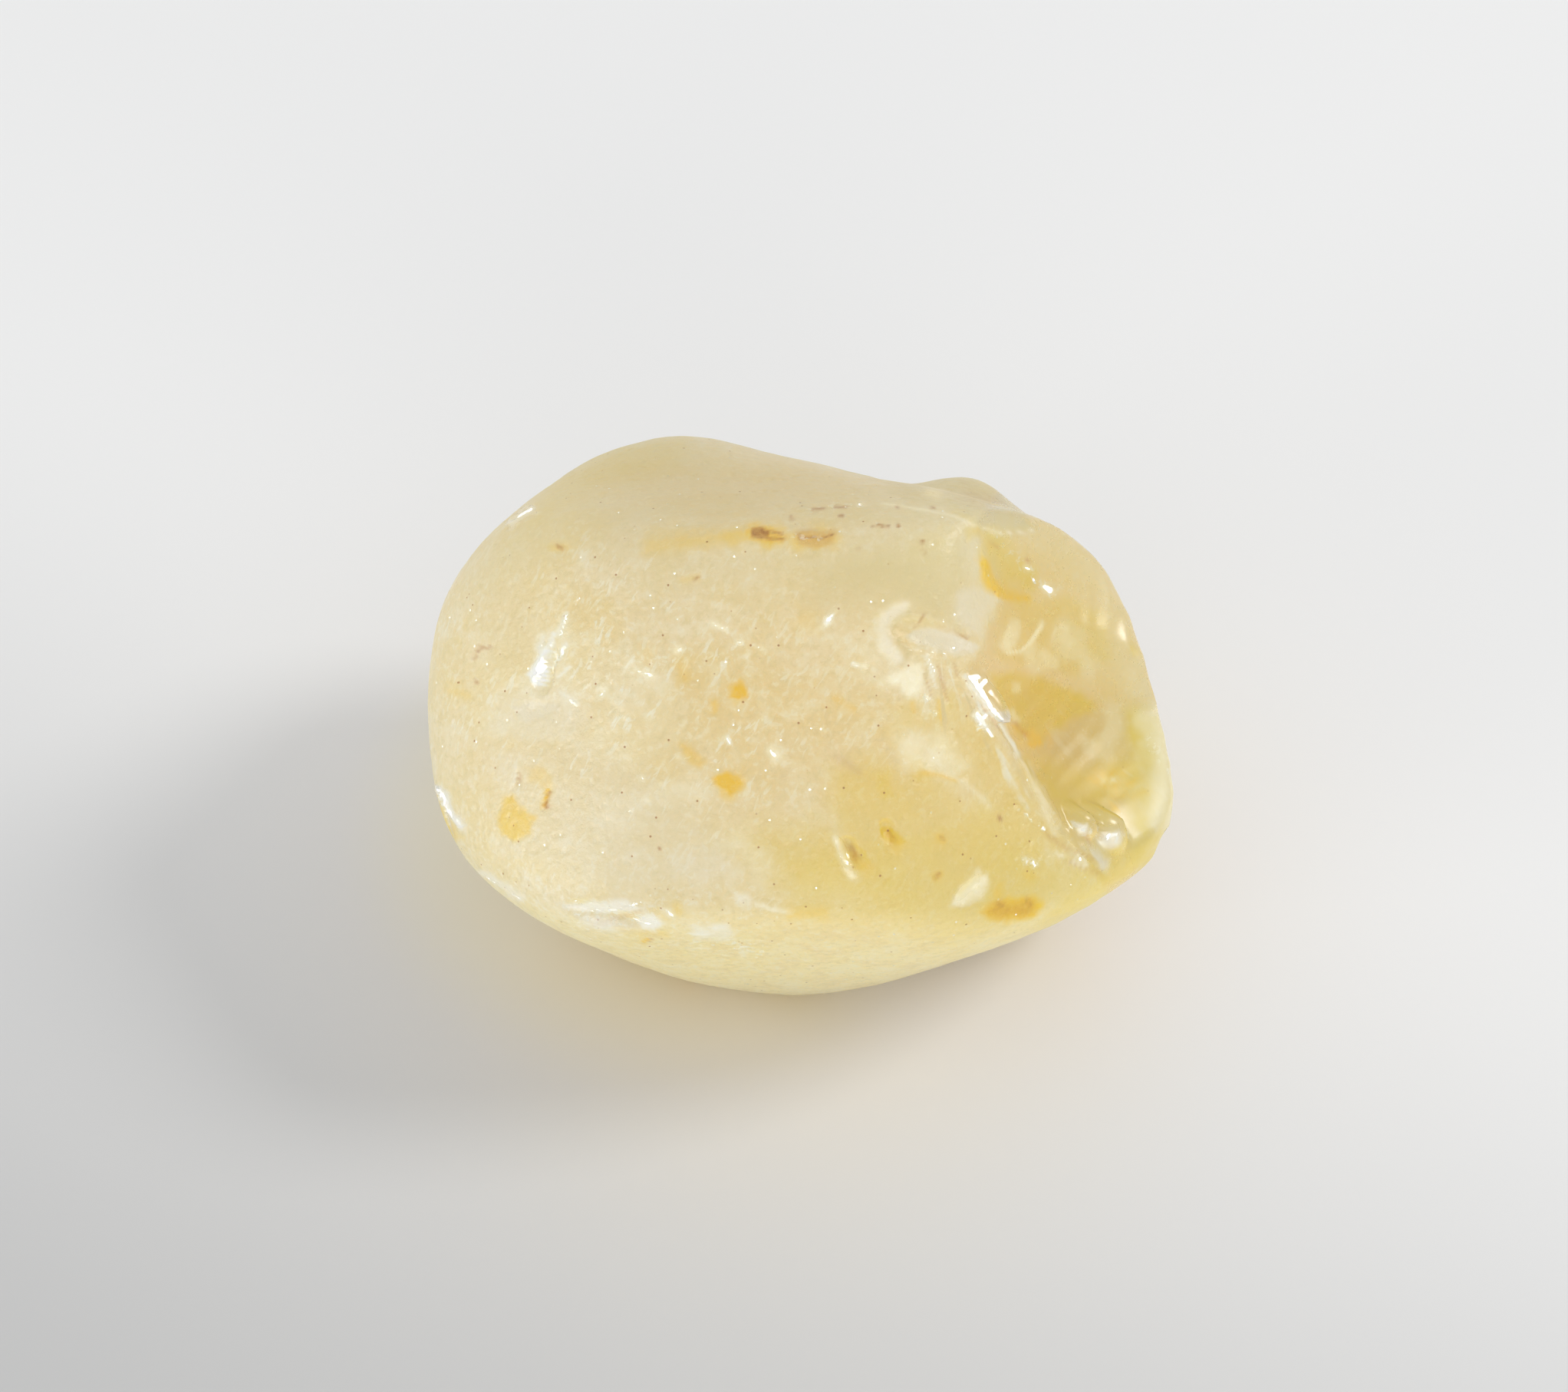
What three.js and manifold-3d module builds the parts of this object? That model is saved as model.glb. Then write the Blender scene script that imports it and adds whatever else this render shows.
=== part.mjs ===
// Rough sapphire: one water-worn pebble of pale yellow corundum with a broken end.
// Millimetres, +Z up. The long axis lies along X, the broken end is at +X and the origin is
// the middle of the footprint on the ground. The stone rests on a small worn flat at z = 0.
//
// The pebble is a rounded polyhedron: every worn face is a plane at some distance from the
// heart of the stone, and the planes run into one another softly. Low swells and hollows are
// laid over it, then the shells of the fracture and the chips are cut away as ellipsoids.
// Everything is placed from the heart, and the finished stone is lifted onto the ground.

import * as THREE from "three";
import { mergeVertices } from "three/addons/utils/BufferGeometryUtils.js";
import Module from "manifold-3d";

const wasm = await Module();
wasm.setup();

// ---- Driving dimensions -------------------------------------------------------------

const HEART = [-0.03, -0.05, 4.1]; // heart of the stone over the footprint
const EDGE_SHARPNESS = 14; // higher makes the edges between the worn faces crisper

// Subdivision of the pebble, of the fracture shells and of the small forms
const SKIN_DETAIL = 14;
const SHELL_DETAIL = 15;
const CHIP_DETAIL = 3;
const SLIVER = 0.002; // thinner triangles left by the cuts are merged away

// Worn faces: [azimuth, elevation, distance from the heart]
const WORN_FACES = [
  [-90, 50, 3.9], // broad front face
  [-144, 42, 4.7], // front face, rolling off to the left
  [-52, 36, 4.3], // front face, rolling off to the right
  [96, 61, 4.1], // back of the top
  [-90, -18, 4.35], // lower front band
  [180, 0, 6.1], // left end
  [143, 27, 5.65], // upper left shoulder
  [114, 38, 5.4], // upper left
  [73, 39, 4.1], // upper back
  [49, 32, 5.1], // upper right shoulder
  [24, 19, 5.9], // right shoulder
  [11, 9, 5.7], // right end
  [-30, -23, 6.3], // right end, lower corner
  [-134, -31, 5.3], // lower left
  [-155, -19, 6.25], // left end, underneath
  [-112, -38, 4.8], // lower left front
  [-59, -36, 4.82], // lower right
  [-76, -40, 4.95], // lower front, underneath
  [90, -5, 4.7], // back
  [90, -50, 4.4], // back, underneath
  [0, -90, 4.3], // underside
  [160, -30, 5.4], // left end, back underneath
  [30, -30, 5.2], // right end, back underneath
];

// Swells and hollows: [azimuth, elevation, spread in degrees, height]
const SWELLS = [
  [119, 37, 14, 0.3], // bump of the upper left
  [66, 32, 9, -0.3], // saddle behind the ridge
  [51, 20, 9, 0.4], // knob behind the ridge
  [-118, 38, 16, 0.07],
  [-84, 22, 13, 0.06],
  [-104, 66, 12, -0.05],
  [-152, 14, 13, 0.07],
  [-62, 58, 12, -0.05],
  [118, -8, 17, 0.16],
  [152, -4, 14, -0.14],
  [76, -22, 14, -0.16],
  [38, -8, 15, 0.14],
];

// Ellipsoids. "along" and "facing" are [azimuth, elevation]: the way the long axis runs and
// the way out of the stone. Radii are [long, wide, deep].

// Glassy nubs on the rim and the ridge of the fracture
const NUBS = [
  { centre: [4.9, -2.5, 0.1], along: [-30, -50], facing: [-30, 40], radii: [0.4, 0.3, 0.3] },
  { centre: [4.5, -2.6, 0.4], along: [-30, -50], facing: [-40, 40], radii: [0.3, 0.2, 0.25] },
  { centre: [2.99, -1.85, 2.63], along: [-41, -36], facing: [-36, 58], radii: [0.5, 0.18, 0.13] },
  { centre: [2.85, -2.15, 2.42], along: [-40, -40], facing: [-36, 58], radii: [0.14, 0.11, 0.1] },
];

// Shells of the fracture. Ripples are waves across the shell: [number over half a turn, height]
const SHELLS = [
  {
    centre: [6.5, -2.9, 3.4],
    along: [-36, -47],
    facing: [-28, 42],
    radii: [4.6, 3.4, 3.6],
    ripples: [10, 0.005],
  },
  { centre: [7.7, -2.4, 6.6], along: [90, 40], facing: [-20, 45], radii: [6, 6, 6] },
  { centre: [3.7, -3.2, 2.1], along: [-27, -52], facing: [-43, 35], radii: [3.0, 1.05, 1.0] },
  { centre: [-3.3, 10.2, -2.7], along: [180, 0], facing: [108, -15], radii: [6.6, 6.2, 6.2] },
];

// Chips and pits in the worn skin
const CHIPS = [
  { centre: [-3.0, -4.7, 0.5], along: [-14, -9], facing: [-103, 6], radii: [1.0, 0.32, 0.3] },
  { centre: [-5.7, -1.9, -0.1], along: [-49, -32], facing: [-160, 0], radii: [0.5, 0.2, 0.2] },
  { centre: [-3.98, -1.37, 2.52], along: [66, 38], facing: [-36, 58], radii: [0.28, 0.17, 0.12] },
  { centre: [-3.9, -1.18, 2.74], along: [66, 38], facing: [-36, 58], radii: [0.22, 0.13, 0.1] },
  { centre: [-4.24, -1.89, 2.42], along: [-22, 30], facing: [-144, 42], radii: [0.6, 0.3, 0.32] },
  { centre: [2.4, -1.63, 3.7], along: [-12, -10], facing: [-66, 43], radii: [1.1, 0.35, 0.32] },
  { centre: [0.8, -4.1, 1.6], along: [-61, -36], facing: [-78, 44], radii: [0.25, 0.16, 0.14] },
  { centre: [1.4, -3.8, 1.7], along: [-61, -36], facing: [-70, 44], radii: [0.22, 0.13, 0.12] },
  { centre: [2.8, -4.1, 0.6], along: [33, 25], facing: [-58, 30], radii: [0.4, 0.2, 0.2] },
  { centre: [6.2, -1.9, -1.2], along: [-90, 50], facing: [-20, -10], radii: [1.2, 0.45, 0.5] },
  { centre: [-1.2, 4.8, 1.3], along: [170, 10], facing: [95, 20], radii: [0.7, 0.3, 0.35] },
  { centre: [1.9, 4.5, -1.0], along: [60, 60], facing: [80, -20], radii: [0.5, 0.3, 0.3] },
];

// ---- Helpers ------------------------------------------------------------------------

const radians = THREE.MathUtils.degToRad;

function direction(azimuth, elevation) {
  const flat = Math.cos(radians(elevation));
  return new THREE.Vector3(
    flat * Math.cos(radians(azimuth)),
    flat * Math.sin(radians(azimuth)),
    Math.sin(radians(elevation)),
  );
}

function toSolid(geometry) {
  geometry.deleteAttribute("normal");
  geometry.deleteAttribute("uv");
  const merged = mergeVertices(geometry, 1e-5);
  return new wasm.Manifold(
    new wasm.Mesh({
      numProp: 3,
      vertProperties: new Float32Array(merged.attributes.position.array),
      triVerts: new Uint32Array(merged.index.array),
    }),
  );
}

function toGeometry(solid) {
  const mesh = solid.getMesh();
  const geometry = new THREE.BufferGeometry();
  geometry.setAttribute("position", new THREE.BufferAttribute(mesh.vertProperties, 3));
  geometry.setIndex(new THREE.BufferAttribute(mesh.triVerts, 1));
  geometry.computeVertexNormals();
  return geometry;
}

// Unit ball whose points are pushed out to radiusAt(ray)
function ball(detail, radiusAt) {
  const geometry = new THREE.IcosahedronGeometry(1, detail);
  const position = geometry.attributes.position;
  const ray = new THREE.Vector3();
  for (let i = 0; i < position.count; i += 1) {
    ray.fromBufferAttribute(position, i).normalize();
    ray.multiplyScalar(radiusAt(ray));
    position.setXYZ(i, ray.x, ray.y, ray.z);
  }
  return geometry;
}

// ---- Pebble -------------------------------------------------------------------------

const facePlanes = WORN_FACES.map(([azimuth, elevation, distance]) => ({
  normal: direction(azimuth, elevation),
  distance,
}));

const swellCentres = SWELLS.map(([azimuth, elevation, spread, height]) => ({
  centre: direction(azimuth, elevation),
  spread: radians(spread),
  height,
}));

function skinRadius(ray) {
  let sum = 0;
  for (const { normal, distance } of facePlanes) {
    const lean = Math.max(0, normal.dot(ray)) / distance;
    sum += lean ** EDGE_SHARPNESS;
  }
  let radius = sum ** (-1 / EDGE_SHARPNESS);
  for (const { centre, spread, height } of swellCentres) {
    const angle = ray.angleTo(centre) / spread;
    radius += height * Math.exp(-angle * angle);
  }
  return radius;
}

// ---- Fracture and chips -------------------------------------------------------------

// Ellipsoid whose first axis runs along one direction and whose third faces another
function ellipsoid({ centre, along, facing, radii, ripples }, detail) {
  const [count, height] = ripples ?? [0, 0];
  const geometry = ball(detail, (ray) => {
    const turn = Math.acos(THREE.MathUtils.clamp(ray.x, -1, 1));
    return 1 + height * Math.cos(2 * count * turn);
  });
  const long = direction(...along);
  const wide = new THREE.Vector3().crossVectors(direction(...facing), long).normalize();
  const deep = new THREE.Vector3().crossVectors(long, wide);
  geometry.scale(...radii);
  geometry.applyMatrix4(new THREE.Matrix4().makeBasis(long, wide, deep).setPosition(...centre));
  return toSolid(geometry);
}

function ground() {
  return toSolid(new THREE.BoxGeometry(40, 40, 4).translate(0, 0, -2));
}

function buildStone() {
  let stone = toSolid(ball(SKIN_DETAIL, skinRadius));
  for (const shell of SHELLS) {
    stone = stone.subtract(ellipsoid(shell, SHELL_DETAIL));
  }
  for (const nub of NUBS) {
    stone = stone.add(ellipsoid(nub, CHIP_DETAIL));
  }
  for (const chip of CHIPS) {
    stone = stone.subtract(ellipsoid(chip, CHIP_DETAIL));
  }
  return stone.translate(HEART).simplify(SLIVER).subtract(ground());
}

// ---- Part ---------------------------------------------------------------------------

const stone = new THREE.Mesh(
  toGeometry(buildStone()),
  new THREE.MeshStandardMaterial({ color: 0xdfd2a8, roughness: 0.45, metalness: 0 }),
);
stone.name = "rough_sapphire";

const group = new THREE.Group();
group.name = "rough_sapphire_part";
group.add(stone);

export default group;
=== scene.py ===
# Dresses the rough sapphire: a water-worn pale yellow corundum pebble with a glassy break.
# Lengths are in millimetres until the mesh is made; the scene is in metres.

import math

import bpy
import numpy as np
from mathutils import Matrix, Vector, noise


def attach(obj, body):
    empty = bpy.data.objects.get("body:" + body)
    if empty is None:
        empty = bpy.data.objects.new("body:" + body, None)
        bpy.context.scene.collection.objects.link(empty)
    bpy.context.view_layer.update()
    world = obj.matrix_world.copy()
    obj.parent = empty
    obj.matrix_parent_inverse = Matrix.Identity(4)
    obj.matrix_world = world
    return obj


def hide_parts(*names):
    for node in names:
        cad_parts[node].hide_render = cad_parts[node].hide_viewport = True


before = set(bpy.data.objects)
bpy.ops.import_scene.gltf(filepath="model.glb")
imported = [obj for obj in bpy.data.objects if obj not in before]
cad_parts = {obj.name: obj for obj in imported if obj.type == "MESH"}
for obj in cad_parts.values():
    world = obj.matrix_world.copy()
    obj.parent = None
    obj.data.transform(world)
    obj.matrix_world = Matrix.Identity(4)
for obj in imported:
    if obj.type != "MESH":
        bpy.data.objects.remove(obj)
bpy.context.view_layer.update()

MM = 0.001
FAR_OUT = 99.0  # farther away than anything on the stone

# ---- The stone's forms, as in the CAD source ----

HEART = np.array([-0.03, -0.05, 4.1])
EDGE_SHARPNESS = 14

# Worn faces: azimuth, elevation, distance from the heart
WORN_FACES = [
    (-90, 50, 3.9), (-144, 42, 4.7), (-52, 36, 4.3), (96, 61, 4.1), (-90, -18, 4.35),
    (180, 0, 6.1), (143, 27, 5.65), (114, 38, 5.4), (73, 39, 4.1), (49, 32, 5.1),
    (24, 19, 5.9), (11, 9, 5.7), (-30, -23, 6.3), (-134, -31, 5.3), (-155, -19, 6.25),
    (-112, -38, 4.8), (-59, -36, 4.82), (-76, -40, 4.95), (90, -5, 4.7), (90, -50, 4.4),
    (0, -90, 4.3), (160, -30, 5.4), (30, -30, 5.2),
]

# Swells and hollows: azimuth, elevation, spread in degrees, height
SWELLS = [
    (119, 37, 14, 0.3), (66, 32, 9, -0.3), (51, 20, 9, 0.4), (-118, 38, 16, 0.07),
    (-84, 22, 13, 0.06), (-104, 66, 12, -0.05), (-152, 14, 13, 0.07), (-62, 58, 12, -0.05),
    (118, -8, 17, 0.16), (152, -4, 14, -0.14), (76, -22, 14, -0.16), (38, -8, 15, 0.14),
]

# Ellipsoids: centre, along, facing, radii (long, wide, deep) and, on the largest shell, ripples
# (number, height). The shells also say how far their worn edges are rounded over.
SHELLS = [
    (0.16, ((6.5, -2.9, 3.4), (-36, -47), (-28, 42), (4.6, 3.4, 3.6), (10, 0.005))),
    (0.30, ((7.7, -2.4, 6.6), (90, 40), (-20, 45), (6.0, 6.0, 6.0))),
    (0.08, ((3.7, -3.2, 2.1), (-27, -52), (-43, 35), (3.0, 1.05, 1.0))),
    (0.25, ((-3.3, 10.2, -2.7), (180, 0), (108, -15), (6.6, 6.2, 6.2))),
]
NUBS = [
    ((4.9, -2.5, 0.1), (-30, -50), (-30, 40), (0.4, 0.3, 0.3)),
    ((4.5, -2.6, 0.4), (-30, -50), (-40, 40), (0.3, 0.2, 0.25)),
    ((2.99, -1.85, 2.63), (-41, -36), (-36, 58), (0.50, 0.18, 0.13)),
    ((2.85, -2.15, 2.42), (-40, -40), (-36, 58), (0.14, 0.11, 0.10)),
]
CHIPS = [
    ((-3.0, -4.7, 0.5), (-14, -9), (-103, 6), (1.0, 0.32, 0.3)),
    ((-5.7, -1.9, -0.1), (-49, -32), (-160, 0), (0.5, 0.2, 0.2)),
    ((-3.98, -1.37, 2.52), (66, 38), (-36, 58), (0.28, 0.17, 0.12)),
    ((-3.9, -1.18, 2.74), (66, 38), (-36, 58), (0.22, 0.13, 0.10)),
    ((-4.24, -1.89, 2.42), (-22, 30), (-144, 42), (0.6, 0.3, 0.32)),
    ((2.4, -1.63, 3.7), (-12, -10), (-66, 43), (1.1, 0.35, 0.32)),
    ((0.8, -4.1, 1.6), (-61, -36), (-78, 44), (0.25, 0.16, 0.14)),
    ((1.4, -3.8, 1.7), (-61, -36), (-70, 44), (0.22, 0.13, 0.12)),
    ((2.8, -4.1, 0.6), (33, 25), (-58, 30), (0.4, 0.2, 0.2)),
    ((6.2, -1.9, -1.2), (-90, 50), (-20, -10), (1.2, 0.45, 0.5)),
    ((-1.2, 4.8, 1.3), (170, 10), (95, 20), (0.7, 0.3, 0.35)),
    ((1.9, 4.5, -1.0), (60, 60), (80, -20), (0.5, 0.3, 0.3)),
]

# How far the small forms and the rim of the resting flat are rounded over
NUB_ROUNDING = 0.12
CHIP_ROUNDING = 0.06
FLAT_ROUNDING = 0.04


def direction(azimuth, elevation):
    a, e = math.radians(azimuth), math.radians(elevation)
    return np.array([math.cos(e) * math.cos(a), math.cos(e) * math.sin(a), math.sin(e)])


def unit(v):
    return v / np.linalg.norm(v, axis=-1, keepdims=True)


def smooth_step(value, low, high):
    t = np.clip((value - low) / (high - low), 0, 1)
    return t * t * (3 - 2 * t)


def soft_min(a, b, k):
    """Smaller of a and b, rounded over where they are closer than k."""
    h = np.clip(1 - np.abs(a - b) / k, 0, 1)
    return np.minimum(a, b) - h * h * k / 4


def skin_radius(rays):
    total = np.zeros(len(rays))
    for azimuth, elevation, distance in WORN_FACES:
        lean = np.clip(rays @ direction(azimuth, elevation), 0, None) / distance
        total += lean ** EDGE_SHARPNESS
    radius = total ** (-1 / EDGE_SHARPNESS)
    for azimuth, elevation, spread, height in SWELLS:
        angle = np.arccos(np.clip(rays @ direction(azimuth, elevation), -1, 1))
        radius += height * np.exp(-((angle / math.radians(spread)) ** 2))
    return radius


def pierce(rays, form):
    """Distances from the heart at which rays enter and leave an ellipsoid that lies ahead."""
    centre, along, facing, radii, *ripples = form
    long = direction(*along)
    wide = unit(np.cross(direction(*facing), long))
    axes = np.array([long, wide, np.cross(long, wide)])
    o = -(axes @ np.array(centre)) / radii
    d = (rays @ axes.T) / radii
    a = (d * d).sum(1)
    b = d @ o
    root = b * b - a * (o @ o - 1)
    hit = root > 0
    root = np.sqrt(np.where(hit, root, 0))
    enter = np.where(hit, (-b - root) / a, FAR_OUT)
    leave = np.where(hit, (-b + root) / a, -FAR_OUT)
    for count, height in ripples:
        at = o + d * np.where(hit, enter, 0)[:, None]
        turn = np.arccos(np.clip(at[:, 0], -1, 1))
        enter = enter - height * radii[2] * np.cos(2 * count * turn)
    behind = enter < 0
    return np.where(behind, FAR_OUT, enter), np.where(behind, -FAR_OUT, leave)


def stone_radius(rays):
    """Radius of the stone along each ray."""
    radius = skin_radius(rays)
    for rounding, form in SHELLS:
        enter, _ = pierce(rays, form)
        radius = soft_min(radius, enter, rounding)
    for form in NUBS:
        _, leave = pierce(rays, form)
        radius = -soft_min(-radius, -leave, NUB_ROUNDING)
    for form in CHIPS:
        enter, _ = pierce(rays, form)
        radius = soft_min(radius, enter, CHIP_ROUNDING)
    down = np.clip(-rays[:, 2], 1e-6, None)
    return soft_min(radius, HEART[2] / down, FLAT_ROUNDING)


# ---- Marks on the side that the camera sees ----

# Lines that several kinds of marks follow. These and all others are in pixels of the reference
# photograph (2044 x 1814).
RIDGE = [(1306, 938), (1326, 978), (1362, 1044), (1402, 1104), (1442, 1130)]
SHOULDER_GLINT = [(1362, 764), (1370, 769)]
TOP_GLINT = [(1077, 810), (1084, 801)]
SCAR_LIP = [(1090, 1091), (1111, 1138)]
LEFT_END_LIP = [(571, 1027), (582, 1051), (601, 1074)]
LEFT_GROOVE = [(618, 857), (625, 844), (641, 843)]

# Strokes: half width in mm, strength, and the lines that such strokes follow
STAINS = [
    (0.11, 1, [(960, 897), (962, 901)]),
    (0.15, 1, [(946, 1019), (955, 1021)]),
    (0.07, 0.5, [(931, 915), (932, 925)]),
    (0.12, 0.35, [(885, 866), (891, 880)]),
    (0.09, 0.4, [(899, 977), (908, 992)], [(1477, 845), (1481, 850)]),
    (0.04, 1, [(714, 1028), (708, 1050)]),
    (0.07, 0.3, [(694, 1014), (705, 1001), (716, 1012), (718, 1030)], [(804, 1209), (870, 1218)]),
    (0.07, 0.6, [(563, 1032), (579, 1060), (593, 1091)], [(1322, 946), (1338, 958)]),
    (0.14, 0.25, [(845, 711), (890, 705)]),
    (0.14, 0.4, [(890, 704), (940, 700)]),
    (0.15, 0.55, [(940, 699), (978, 697)]),
    (0.15, 0.9, [(984, 694), (1010, 699)]),
    (0.12, 0.6, [(1040, 703), (1083, 699)]),
    (0.08, 0.35, [(720, 713), (735, 713)], [(881, 1180), (884, 1188)]),
    (0.07, 0.25, [(889, 754), (910, 751)]),
    (0.1, 0.3, [(587, 899), (610, 906)]),
    (0.12, 0.2, [(842, 846), (845, 852)]),
    (0.16, 0.2, [(1044, 808), (1050, 812)]),
    (0.04, 0.9, [(839, 1226), (845, 1223)]),
    (0.1, 0.4, [(1031, 1192), (1073, 1188)]),
    (0.07, 0.35, [(1087, 909), (1113, 923)]),
    (0.07, 0.9, [(1283, 732), (1283, 749), (1292, 762), (1312, 775)]),
    (0.06, 0.7, [(1312, 775), (1342, 780)]),
    (0.1, 0.35, [(1274, 690), (1290, 712)]),
    (0.12, 1, [(1345, 960), (1350, 964)]),
    (0.08, 0.5, [(1298, 1160), (1300, 1178)]),
    (0.1, 0.45, [(1158, 1088), (1170, 1098)], [(1116, 1118), (1128, 1128)]),
    (0.06, 0.45, [(1201, 1007), (1222, 1008), (1244, 1016)]),
    (0.08, 0.45, [(1224, 1091), (1229, 1095)]),
    (0.06, 0.5, [(1220, 1143), (1225, 1138)]),
    (0.06, 0.6, [(1421, 1016), (1439, 1010), (1462, 1005)], [(1434, 1022), (1454, 1024), (1487, 1016)]),
    (0.06, 0.4, [(1450, 1034), (1474, 1036), (1492, 1030)]),
    (0.07, 0.4, [(1340, 1140), (1345, 1142)]),
    (0.05, 0.5, [(1222, 912), (1226, 935)]),
    (0.04, 0.4, [(1188, 915), (1190, 926)]),
]
KNOTS = [
    (0.025, 0.8, [(1137, 685), (1139, 685)], [(1143, 683), (1149, 685)],
        [(1041, 699), (1060, 698), (1070, 700), (1084, 695)], [(1302, 1065), (1303, 1066)],
        [(859, 1103), (860, 1107)]),
    (0.025, 0.7, [(1155, 685), (1157, 685)], [(1118, 715), (1119, 715)], [(1095, 671), (1097, 671)],
        [(992, 690), (1018, 694)], [(990, 698), (1020, 702)]),
    (0.03, 0.9, [(1169, 684), (1170, 685)]),
    (0.03, 0.6, [(1169, 660), (1170, 661)], [(1214, 661), (1216, 662)], [(1040, 694), (1047, 702)],
        [(726, 711), (732, 714)], [(711, 1052), (714, 1050)]),
    (0.025, 0.5, [(1203, 715), (1204, 720)], [(846, 1226), (850, 1222)]),
    (0.025, 0.6, [(716, 1031), (709, 1050)], [(1059, 663), (1075, 662)], [(1088, 661), (1104, 660)],
        [(905, 754), (910, 751)]),
    (0.16, 0.14, [(1262, 646), (1290, 654)]),
    (0.025, 0.35, [(1414, 1086), (1417, 1099)], [(1441, 1090), (1449, 1104)]),
    (0.04, 0.25, [(1363, 1086), (1388, 1104), (1414, 1114), (1439, 1122)],
        [(1393, 1122), (1414, 1132), (1434, 1137)]),
    (0.025, 0.25, [(770, 1206), (799, 1197), (835, 1186)]),
    (0.04, 0.1, [(1088, 985), (1104, 994), (1121, 1008)]),
    (0.03, 0.4, [(1226, 1090), (1229, 1093)], [(1338, 728), (1340, 730)]),
    (0.03, 0.5, [(1220, 1143), (1224, 1138)], [(1031, 672), (1032, 676)],
        LEFT_GROOVE),
    (0.035, 0.9, [(1201, 704), (1202, 705)]),
    (0.03, 1, [(621, 887), (622, 888)]),
    (0.03, 0.7, [(677, 1008), (676, 1019)]),
    (0.05, 0.6, [(1340, 1174), (1343, 1178)]),
    (0.05, 0.5, [(1300, 1177), (1306, 1181)]),
    (0.025, 0.4, [(1193, 816), (1205, 799)], [(1223, 816), (1242, 822), (1260, 831)]),
    (0.025, 0.3, [(1205, 878), (1214, 908)], [(1222, 867), (1235, 912)], [(1244, 863), (1248, 878)]),
    (0.05, 0.35, [(1110, 1104), (1116, 1116)]),
    (0.05, 0.3, [(1158, 1085), (1164, 1092)]),
    (0.03, 0.25, [(1278, 920), (1330, 985)], [(1290, 705), (1300, 712)]),
    (0.05, 0.25, [(1322, 940), (1334, 956)]),
]
GOLD = [
    (0.28, 0.7, [(1290, 700), (1310, 745)]),
    (0.3, 0.4, [(1330, 790), (1360, 830)], [(1420, 1010), (1470, 1000)], [(1400, 1060), (1440, 1060)]),
    (0.3, 0.5, [(1200, 1020), (1250, 1060)]),
    (0.35, 0.45, [(1240, 1120), (1330, 1170)]),
    (0.25, 0.5, [(1430, 1140), (1380, 1170)]),
    (0.15, 0.4, [(565, 1030), (585, 1090)]),
    (0.3, 0.25, [(1060, 1060), (1090, 1100)]),
    (0.3, 0.35, [(1180, 930), (1230, 960)]),
]
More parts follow.
